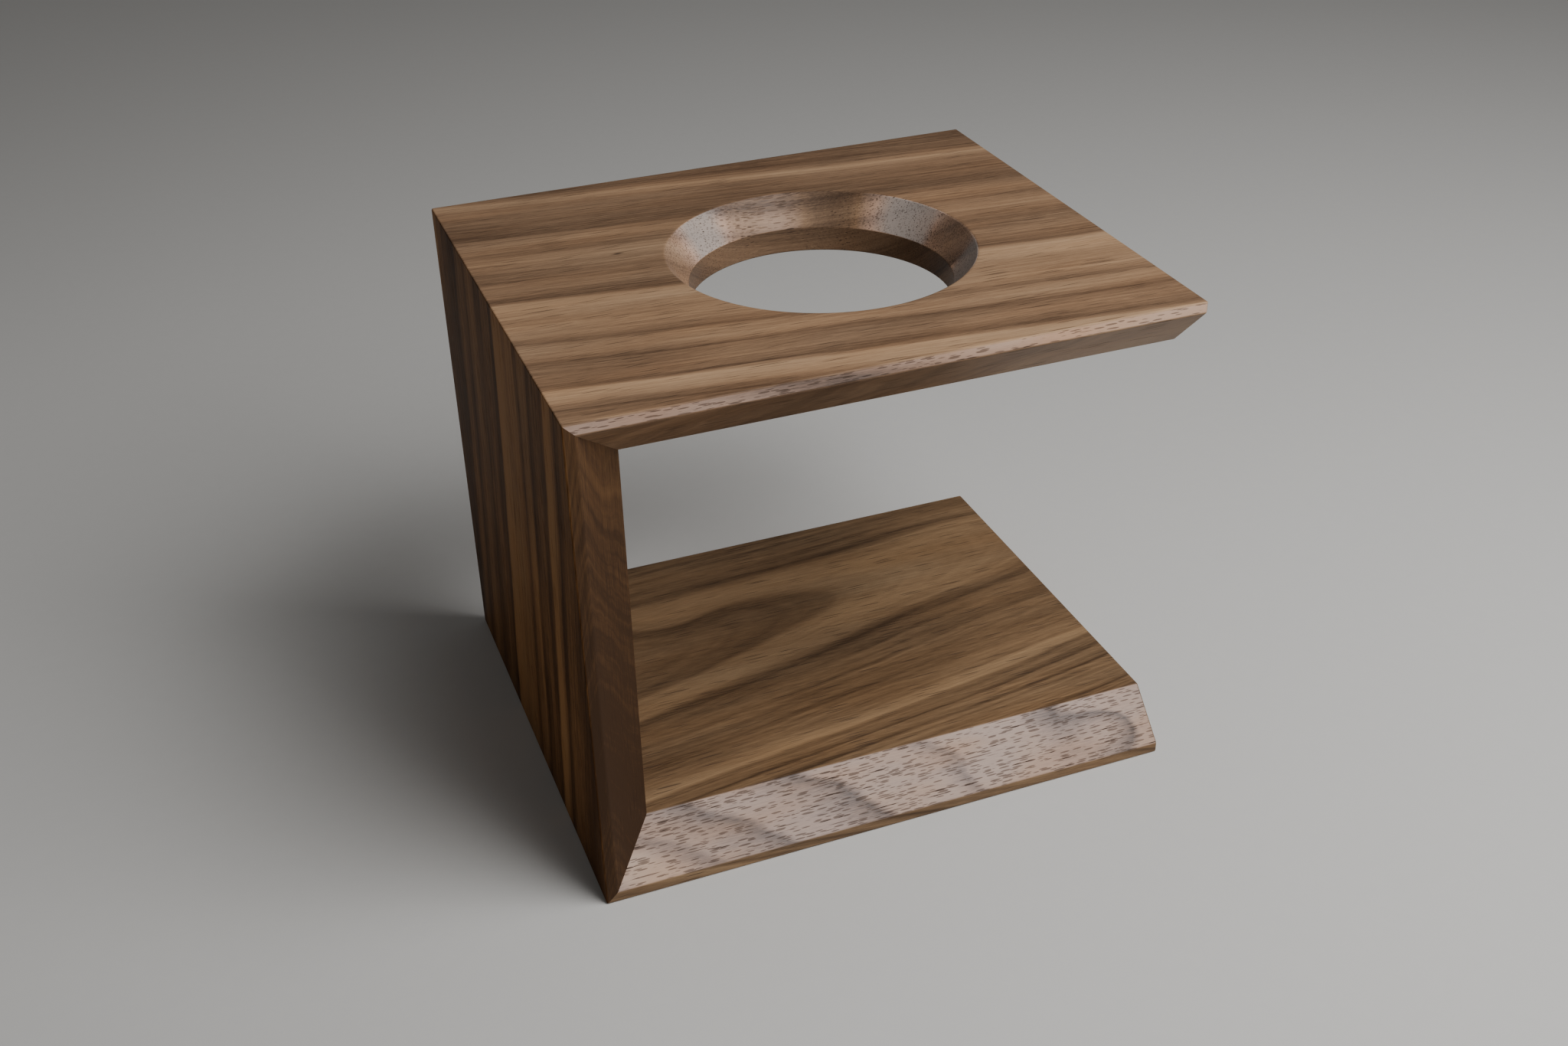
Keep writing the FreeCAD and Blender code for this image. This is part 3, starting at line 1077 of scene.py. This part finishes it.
def walnut(name, scene, stock_lie, tree, tones):
    """Oiled walnut, with a painted sheen, pale or silvery, and painted shade where the layer
    says so.
    """
    colours = scene.wood_colours
    figure = scene.walnut_figure
    graph = Graph(name)
    grain = lay_grain(graph, stock_lie, tree, tones)
    oiled = oiled_wood(graph, scene, tree, grain)
    pale_sheen_colour = sheen_wood(graph, scene, tree, grain)

    # Painted light from the layer: pale sheen, silver sheen, and painted shade below zero.
    cut = graph.add("ShaderNodeAttribute", attribute_name=PAINTED_LIGHT_LAYER).outputs["Fac"]
    pale_sheen_amount = graph.math("MINIMUM", graph.math("MAXIMUM", cut, 0.0), 1.0)
    sheen = graph.math("SUBTRACT", cut, 1.0, clamp=True)
    painted_shade_amount = graph.math("MAXIMUM", graph.math("MULTIPLY", cut, -1.0), 0.0)
    surface = graph.blend(sheen, pale_sheen_colour, colours.silver)
    surface = graph.blend(pale_sheen_amount, oiled, surface)
    surface = graph.blend(painted_shade_amount, surface, colours.painted_shade_colour)

    pores = open_pores(graph, figure, grain["stock"], pale_sheen_amount, sheen)
    surface = graph.blend(pores, surface, colours.pore)
    for centre, reach in tree["flecks"]:
        fleck = graph.swell(grain["stock"], centre, reach)
        surface = graph.blend(fleck, surface, colours.pore)
    graph.feed(graph.shader, "Base Color", surface)
    rub_surface(graph, figure, grain["threads"], pores, tree["gloss"])
    return graph.material


def beech(colours):
    """Plain beech with short ray flecks, for the loose tenons."""
    graph = Graph("beech")
    stock = graph.stock_place(*UNTURNED)
    fibres = graph.noise(stock, *BEECH_FIBRES)
    distance, _number = graph.specks(stock, BEECH_FLECKS)
    flecks = graph.remap(distance, *BEECH_FLECK_EDGE, BEECH_FLECK_DEPTH, 0.0)
    tone = graph.math("MULTIPLY_ADD", fibres, BEECH_CONTRAST, MID_TONE, clamp=True)
    body = graph.ramp(tone, [(0.0, colours.beech_fibre), (1.0, colours.beech)])
    surface = graph.blend(flecks, body, colours.beech_fleck)
    graph.feed(graph.shader, "Base Color", surface)
    roughness = graph.math("MULTIPLY_ADD", fibres, BEECH_SHEEN, BEECH_ROUGHNESS)
    graph.feed(graph.shader, "Roughness", roughness)
    return graph.material


def studio_floor(settings):
    """Plain matt floor with a faint, fine mottle."""
    graph = Graph("studio_floor")
    mottle = graph.noise(graph.stock_place(*UNTURNED), *FLOOR_MOTTLE)
    tone = graph.math("ADD", mottle, MID_TONE)
    surface = graph.ramp(tone, [(0.0, settings.floor_mottle), (1.0, settings.floor)])
    graph.feed(graph.shader, "Base Color", surface)
    graph.shader.inputs["Roughness"].default_value = FLOOR_ROUGHNESS
    return graph.material


# ---------------------------------------------------------------------------
# Operators
# ---------------------------------------------------------------------------


def tenons_of(prefix):
    """The loose tenons across one of the two mitres."""
    return [name for name in TENON_NODES if name.startswith(prefix)]


class STAND_OT_base_board(Operator):
    """Build the board that stands on the counter and carries the mug"""

    bl_idname = "coffee_stand.base_board"
    bl_label = "Base board"

    def execute(self, context):
        sizes = context.scene.stand_sizes
        outward = Vector((-1, 0, 1)).normalized()
        bm = make_blank(BASE_LOW, BASE_HIGH)
        bevel_long_edges(bm, sizes, X_AXIS, Z_AXIS)
        ease_arrises(bm, sizes)
        outline = saw_mitre(bm, BASE_LOW, outward)
        close_mitre(bm, sizes, outline, tenons_of("base_"), outward)
        bm.normal_update()
        # Painted sheen on the bevels that face up.
        paint_light(bm, PAINTED_SHEEN, lambda face: faces_towards(face, (0, -1, 1), (0, 1, 1)))
        wood = walnut("walnut_base", context.scene, BASE_PLACE, BASE_TREE, BASE_STOCK_TONES)
        finish_piece(bm, "base_board_walnut", wood, "base_board")
        return {"FINISHED"}


class STAND_OT_side_board(Operator):
    """Build the upright board, mitred at both ends"""

    bl_idname = "coffee_stand.side_board"
    bl_label = "Side board"

    def execute(self, context):
        sizes = context.scene.stand_sizes
        bm = make_blank(SIDE_LOW, SIDE_HIGH)
        bevel_long_edges(bm, sizes, Z_AXIS, X_AXIS)
        ease_arrises(bm, sizes)
        upper_toe = Vector((SIDE_LOW.x, SIDE_LOW.y, SIDE_HIGH.z))
        for prefix, toe, outward in (
            ("base_", SIDE_LOW, Vector((1, 0, -1)).normalized()),
            ("top_", upper_toe, Vector((1, 0, 1)).normalized()),
        ):
            outline = saw_mitre(bm, toe, outward)
            close_mitre(bm, sizes, outline, tenons_of(prefix), outward)
        bm.normal_update()
        # Painted shade on the side board's bevels and lands.
        edge_ways = ((1, -1, 0), (1, 1, 0), (0, -1, 0), (0, 1, 0))
        paint_light(bm, SIDE_SHADE, lambda face: faces_towards(face, *edge_ways))
        wood = walnut("walnut_side", context.scene, SIDE_PLACE, SIDE_TREE, FRONT_STOCK_TONES)
        finish_piece(bm, "side_board_walnut", wood, "side_board")
        return {"FINISHED"}


class STAND_OT_top_board(Operator):
    """Build the board that carries the dripper, with its funnel-shaped hole"""

    bl_idname = "coffee_stand.top_board"
    bl_label = "Top board"

    def execute(self, context):
        sizes = context.scene.stand_sizes
        outward = Vector((-1, 0, -1)).normalized()
        toe = Vector((TOP_LOW.x, TOP_LOW.y, TOP_HIGH.z))
        bm = make_blank(TOP_LOW, TOP_HIGH)
        bevel_long_edges(bm, sizes, X_AXIS, -Z_AXIS)
        ease_arrises(bm, sizes)
        outline = saw_mitre(bm, toe, outward)
        close_mitre(bm, sizes, outline, tenons_of("top_"), outward)
        turn_hole(bm, sizes)
        bm.normal_update()
        # Painted sheen on the lands, painted shade under the bevels and in the bore, and
        # painted sheen and shade on the cone.
        paint_light(bm, PAINTED_SHEEN, lies_on_land)
        mark_under_bevels(bm)
        mark_cone(bm, sizes)
        wood = walnut("walnut_top", context.scene, TOP_PLACE, FRONT_TREE, FRONT_STOCK_TONES)
        finish_piece(bm, "top_board_walnut", wood, "top_board")
        return {"FINISHED"}


class STAND_OT_tenons(Operator):
    """Give the loose tenons their beech"""

    bl_idname = "coffee_stand.tenons"
    bl_label = "Loose tenons"

    def execute(self, context):
        wood = beech(context.scene.wood_colours)
        for name in TENON_NODES:
            tenon = frame["nodes"][name]
            tenon.data.materials.clear()
            tenon.data.materials.append(wood)
        return {"FINISHED"}


def lay_floor(scene, settings):
    """A plain floor, level with the stand's underside."""
    bm = bmesh.new()
    bmesh.ops.create_grid(bm, x_segments=1, y_segments=1, size=settings.floor_reach)
    bmesh.ops.translate(bm, verts=bm.verts, vec=Z_AXIS * BASE_LOW.z)
    mesh = bpy.data.meshes.new("studio_floor")
    bm.to_mesh(mesh)
    bm.free()
    mesh.materials.append(studio_floor(settings))
    floor = bpy.data.objects.new("studio_floor", mesh)
    scene.collection.objects.link(floor)


def light_room(scene, settings):
    """One large soft light in front and above, and even light from all round."""
    world = bpy.data.worlds.new("studio")
    world.use_nodes = True
    background = world.node_tree.nodes["Background"]
    background.inputs["Color"].default_value = (*settings.room_colour, 1.0)
    background.inputs["Strength"].default_value = settings.room_light
    scene.world = world
    lamp = bpy.data.lights.new("key_light", "AREA")
    lamp.shape = "SQUARE"
    lamp.size = settings.key_size
    lamp.energy = settings.key_power
    light = bpy.data.objects.new("key_light", lamp)
    light.location = settings.key_place
    aim = Vector((0, 0, HEIGHT / 2)) - light.location
    light.rotation_euler = aim.to_track_quat("-Z", "Y").to_euler()
    scene.collection.objects.link(light)


def aim_camera(scene, settings):
    """Look down at the stand from the front left."""
    camera = bpy.data.objects.new("camera", bpy.data.cameras.new("camera"))
    camera.data.lens = settings.camera_lens
    camera.data.sensor_width = SENSOR_WIDTH
    camera.data.clip_start = NEAREST_SEEN
    level = math.cos(settings.camera_elevation)
    back = Vector(
        (
            math.sin(settings.camera_azimuth) * level,
            -math.cos(settings.camera_azimuth) * level,
            math.sin(settings.camera_elevation),
        )
    )
    facing = back.to_track_quat("Z", "Y").to_matrix().to_4x4()
    roll = Matrix.Rotation(settings.camera_roll, 4, "Z")
    place = Vector(settings.camera_aim) + back * settings.camera_distance
    camera.matrix_world = Matrix.Translation(place) @ facing @ roll
    scene.collection.objects.link(camera)
    scene.camera = camera


class STAND_OT_stage(Operator):
    """Lay the floor, and set the light and the camera"""

    bl_idname = "coffee_stand.stage"
    bl_label = "Stage"

    def execute(self, context):
        settings = context.scene.studio_settings
        lay_floor(context.scene, settings)
        light_room(context.scene, settings)
        aim_camera(context.scene, settings)
        return {"FINISHED"}


# ---------------------------------------------------------------------------
# Sidebar and registration
# ---------------------------------------------------------------------------


SETTING_GROUPS = {
    "stand_sizes": StandSizes,
    "walnut_figure": WalnutFigure,
    "wood_colours": WoodColours,
    "studio_settings": StudioSettings,
}
OPERATORS = (
    STAND_OT_base_board,
    STAND_OT_side_board,
    STAND_OT_top_board,
    STAND_OT_tenons,
    STAND_OT_stage,
)


class STAND_PT_sidebar(Panel):
    """The coffee stand's settings and its build steps"""

    bl_label = "Coffee Stand"
    bl_idname = "STAND_PT_sidebar"
    bl_space_type = "VIEW_3D"
    bl_region_type = "UI"
    bl_category = "Coffee Stand"

    def draw(self, context):
        layout = self.layout
        for group in SETTING_GROUPS:
            settings = getattr(context.scene, group)
            column = layout.column()
            for key in settings.__annotations__:
                column.prop(settings, key)
        for operator in OPERATORS:
            layout.operator(operator.bl_idname)


def register():
    """Register the settings, the operators and the sidebar."""
    for kind in (*SETTING_GROUPS.values(), *OPERATORS, STAND_PT_sidebar):
        bpy.utils.register_class(kind)
    for name, kind in SETTING_GROUPS.items():
        setattr(bpy.types.Scene, name, PointerProperty(type=kind))


def unregister():
    """Undo what register did."""
    for name in SETTING_GROUPS:
        delattr(bpy.types.Scene, name)
    for kind in (STAND_PT_sidebar, *OPERATORS, *SETTING_GROUPS.values()):
        bpy.utils.unregister_class(kind)


def main():
    """Build the stand."""
    register()
    for operator in OPERATORS:
        module, name = operator.bl_idname.split(".")
        getattr(getattr(bpy.ops, module), name)()


if __name__ == "__main__":
    main()
